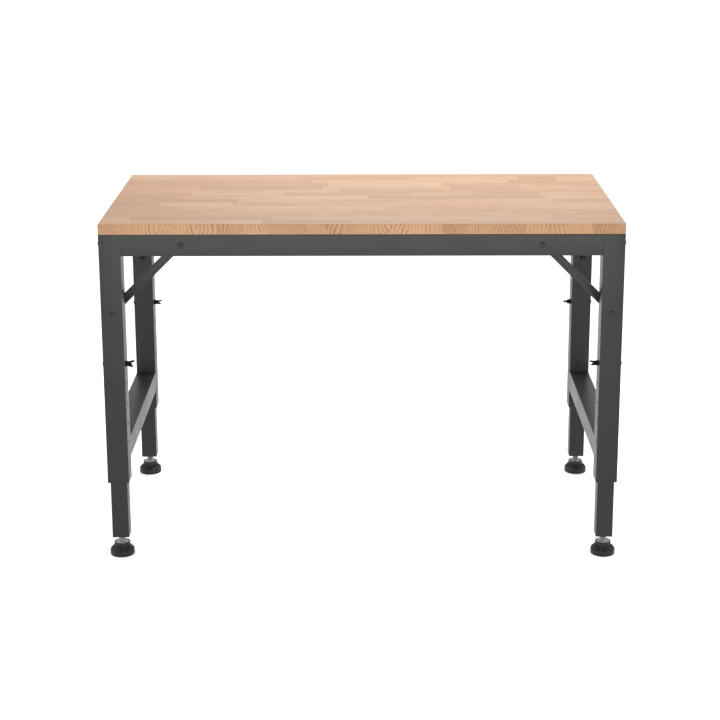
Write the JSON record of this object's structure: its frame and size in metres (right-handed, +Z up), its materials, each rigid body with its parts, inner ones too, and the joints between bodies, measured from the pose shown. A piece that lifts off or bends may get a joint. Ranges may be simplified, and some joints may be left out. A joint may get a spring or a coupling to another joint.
{
  "type": "height-adjustable workbench",
  "caption": "Workbench with a butcher-block top on a grey square-tube steel frame with telescoping legs, corner braces and levelling feet.",
  "frame": {"origin": "on the floor, under the middle of the bench", "axes": "+X along the length to the right seen from the front, +Y to the back, +Z up"},
  "size_m": [1.2294, 0.6194, 0.826],
  "materials": {
    "butcher_block": "satin-lacquered beech staves, end grain showing on the long edges",
    "grey_paint": "satin dark grey powder coat",
    "black_steel": "black oxide, semi-gloss",
    "zinc_steel": "bright zinc plate",
    "black_rubber": "matte moulded"
  },
  "bodies": {
    "front_left_inner_leg": {"front_left_inner_leg": "grey_paint", "front_left_leg_plug": "black_steel"},
    "bench_frame": {"worktop": "butcher_block", "front_rail": "grey_paint", "rear_rail": "grey_paint", "left_side_rail": "grey_paint", "right_side_rail": "grey_paint", "left_lower_stretcher": "grey_paint", "right_lower_stretcher": "grey_paint", "front_left_outer_leg": "grey_paint", "front_left_brace": "grey_paint", "front_left_lock_bolt": "black_steel", "front_left_rail_brace_bolt": "black_steel", "front_left_leg_brace_bolt": "black_steel", "front_left_rail_end_bolt": "black_steel", "front_right_outer_leg": "grey_paint", "front_right_brace": "grey_paint", "front_right_lock_bolt": "black_steel", "front_right_rail_brace_bolt": "black_steel", "front_right_leg_brace_bolt": "black_steel", "front_right_rail_end_bolt": "black_steel", "rear_left_outer_leg": "grey_paint", "rear_left_brace": "grey_paint", "rear_left_lock_bolt": "black_steel", "rear_left_rail_brace_bolt": "black_steel", "rear_left_leg_brace_bolt": "black_steel", "rear_left_rail_end_bolt": "black_steel", "rear_right_outer_leg": "grey_paint", "rear_right_brace": "grey_paint", "rear_right_lock_bolt": "black_steel", "rear_right_rail_brace_bolt": "black_steel", "rear_right_leg_brace_bolt": "black_steel", "rear_right_rail_end_bolt": "black_steel"},
    "front_right_inner_leg": {"front_right_inner_leg": "grey_paint", "front_right_leg_plug": "black_steel"},
    "rear_left_inner_leg": {"rear_left_inner_leg": "grey_paint", "rear_left_leg_plug": "black_steel"},
    "rear_right_inner_leg": {"rear_right_inner_leg": "grey_paint", "rear_right_leg_plug": "black_steel"},
    "front_left_foot": {"front_left_foot_pad": "black_rubber", "front_left_foot_cup": "zinc_steel"},
    "front_left_foot_screw": {"front_left_foot_stud": "zinc_steel"},
    "front_right_foot": {"front_right_foot_pad": "black_rubber", "front_right_foot_cup": "zinc_steel"},
    "front_right_foot_screw": {"front_right_foot_stud": "zinc_steel"},
    "rear_left_foot": {"rear_left_foot_pad": "black_rubber", "rear_left_foot_cup": "zinc_steel"},
    "rear_left_foot_screw": {"rear_left_foot_stud": "zinc_steel"},
    "rear_right_foot": {"rear_right_foot_pad": "black_rubber", "rear_right_foot_cup": "zinc_steel"},
    "rear_right_foot_screw": {"rear_right_foot_stud": "zinc_steel"},
    "front_left_lock_washer": {"front_left_lock_washer": "black_steel"},
    "front_left_wing_nut": {"front_left_wing_nut": "black_steel"},
    "front_right_lock_washer": {"front_right_lock_washer": "black_steel"},
    "front_right_wing_nut": {"front_right_wing_nut": "black_steel"},
    "rear_left_lock_washer": {"rear_left_lock_washer": "black_steel"},
    "rear_left_wing_nut": {"rear_left_wing_nut": "black_steel"},
    "rear_right_lock_washer": {"rear_right_lock_washer": "black_steel"},
    "rear_right_wing_nut": {"rear_right_wing_nut": "black_steel"}
  },
  "joints": [
    {"name": "height_slide", "type": "slide", "parent": "front_left_inner_leg", "child": "bench_frame", "axis": [0, 0, 1], "range_m": [0, 0.245]},
    {"name": "front_right_leg_slide", "type": "slide", "parent": "bench_frame", "child": "front_right_inner_leg", "axis": [0, 0, -1], "range_m": [0, 0.245]},
    {"name": "rear_left_leg_slide", "type": "slide", "parent": "bench_frame", "child": "rear_left_inner_leg", "axis": [0, 0, -1], "range_m": [0, 0.245]},
    {"name": "rear_right_leg_slide", "type": "slide", "parent": "bench_frame", "child": "rear_right_inner_leg", "axis": [0, 0, -1], "range_m": [0, 0.245]},
    {"name": "front_left_foot_travel", "type": "slide", "parent": "front_left_inner_leg", "child": "front_left_foot", "axis": [0, 0, -1], "range_m": [-0.012, 0.016]},
    {"name": "front_left_stud_turn", "type": "hinge", "parent": "front_left_foot", "child": "front_left_foot_screw", "pos_m": [-0.5846, -0.2796, 0.05], "axis": [0, 0, -1], "range_deg": [-2160.1, 2880.1]},
    {"name": "front_right_foot_travel", "type": "slide", "parent": "front_right_inner_leg", "child": "front_right_foot", "axis": [0, 0, -1], "range_m": [-0.012, 0.016]},
    {"name": "front_right_stud_turn", "type": "hinge", "parent": "front_right_foot", "child": "front_right_foot_screw", "pos_m": [0.5846, -0.2796, 0.05], "axis": [0, 0, -1], "range_deg": [-2160.1, 2880.1]},
    {"name": "rear_left_foot_travel", "type": "slide", "parent": "rear_left_inner_leg", "child": "rear_left_foot", "axis": [0, 0, -1], "range_m": [-0.012, 0.016]},
    {"name": "rear_left_stud_turn", "type": "hinge", "parent": "rear_left_foot", "child": "rear_left_foot_screw", "pos_m": [-0.5846, 0.2796, 0.05], "axis": [0, 0, -1], "range_deg": [-2160.1, 2880.1]},
    {"name": "rear_right_foot_travel", "type": "slide", "parent": "rear_right_inner_leg", "child": "rear_right_foot", "axis": [0, 0, -1], "range_m": [-0.012, 0.016]},
    {"name": "rear_right_stud_turn", "type": "hinge", "parent": "rear_right_foot", "child": "rear_right_foot_screw", "pos_m": [0.5846, 0.2796, 0.05], "axis": [0, 0, -1], "range_deg": [-2160.1, 2880.1]},
    {"name": "front_left_nut_travel", "type": "slide", "parent": "bench_frame", "child": "front_left_lock_washer", "axis": [1, 0, 0], "range_m": [0, 0.006]},
    {"name": "front_left_nut_turn", "type": "hinge", "parent": "front_left_lock_washer", "child": "front_left_wing_nut", "pos_m": [-0.557, -0.2796, 0.4825], "axis": [1, 0, 0], "range_deg": [0, 2160.1]},
    {"name": "front_right_nut_travel", "type": "slide", "parent": "bench_frame", "child": "front_right_lock_washer", "axis": [-1, 0, 0], "range_m": [0, 0.006]},
    {"name": "front_right_nut_turn", "type": "hinge", "parent": "front_right_lock_washer", "child": "front_right_wing_nut", "pos_m": [0.557, -0.2796, 0.4825], "axis": [-1, 0, 0], "range_deg": [0, 2160.1]},
    {"name": "rear_left_nut_travel", "type": "slide", "parent": "bench_frame", "child": "rear_left_lock_washer", "axis": [1, 0, 0], "range_m": [0, 0.006]},
    {"name": "rear_left_nut_turn", "type": "hinge", "parent": "rear_left_lock_washer", "child": "rear_left_wing_nut", "pos_m": [-0.557, 0.2796, 0.4825], "axis": [1, 0, 0], "range_deg": [0, 2160.1]},
    {"name": "rear_right_nut_travel", "type": "slide", "parent": "bench_frame", "child": "rear_right_lock_washer", "axis": [-1, 0, 0], "range_m": [0, 0.006]},
    {"name": "rear_right_nut_turn", "type": "hinge", "parent": "rear_right_lock_washer", "child": "rear_right_wing_nut", "pos_m": [0.557, 0.2796, 0.4825], "axis": [-1, 0, 0], "range_deg": [0, 2160.1]}
  ],
  "couplings": [
    {"joint": "front_right_leg_slide", "follows": "height_slide", "ratio": 1},
    {"joint": "rear_left_leg_slide", "follows": "height_slide", "ratio": 1},
    {"joint": "rear_right_leg_slide", "follows": "height_slide", "ratio": 1},
    {"joint": "front_left_stud_turn", "follows": "front_left_foot_travel", "rad_per_m": 3141.6},
    {"joint": "front_right_stud_turn", "follows": "front_right_foot_travel", "rad_per_m": 3141.6},
    {"joint": "rear_left_stud_turn", "follows": "rear_left_foot_travel", "rad_per_m": 3141.6},
    {"joint": "rear_right_stud_turn", "follows": "rear_right_foot_travel", "rad_per_m": 3141.6},
    {"joint": "front_left_nut_turn", "follows": "front_left_nut_travel", "rad_per_m": 6283.2},
    {"joint": "front_right_nut_turn", "follows": "front_right_nut_travel", "rad_per_m": 6283.2},
    {"joint": "rear_left_nut_turn", "follows": "rear_left_nut_travel", "rad_per_m": 6283.2},
    {"joint": "rear_right_nut_turn", "follows": "rear_right_nut_travel", "rad_per_m": 6283.2}
  ]
}
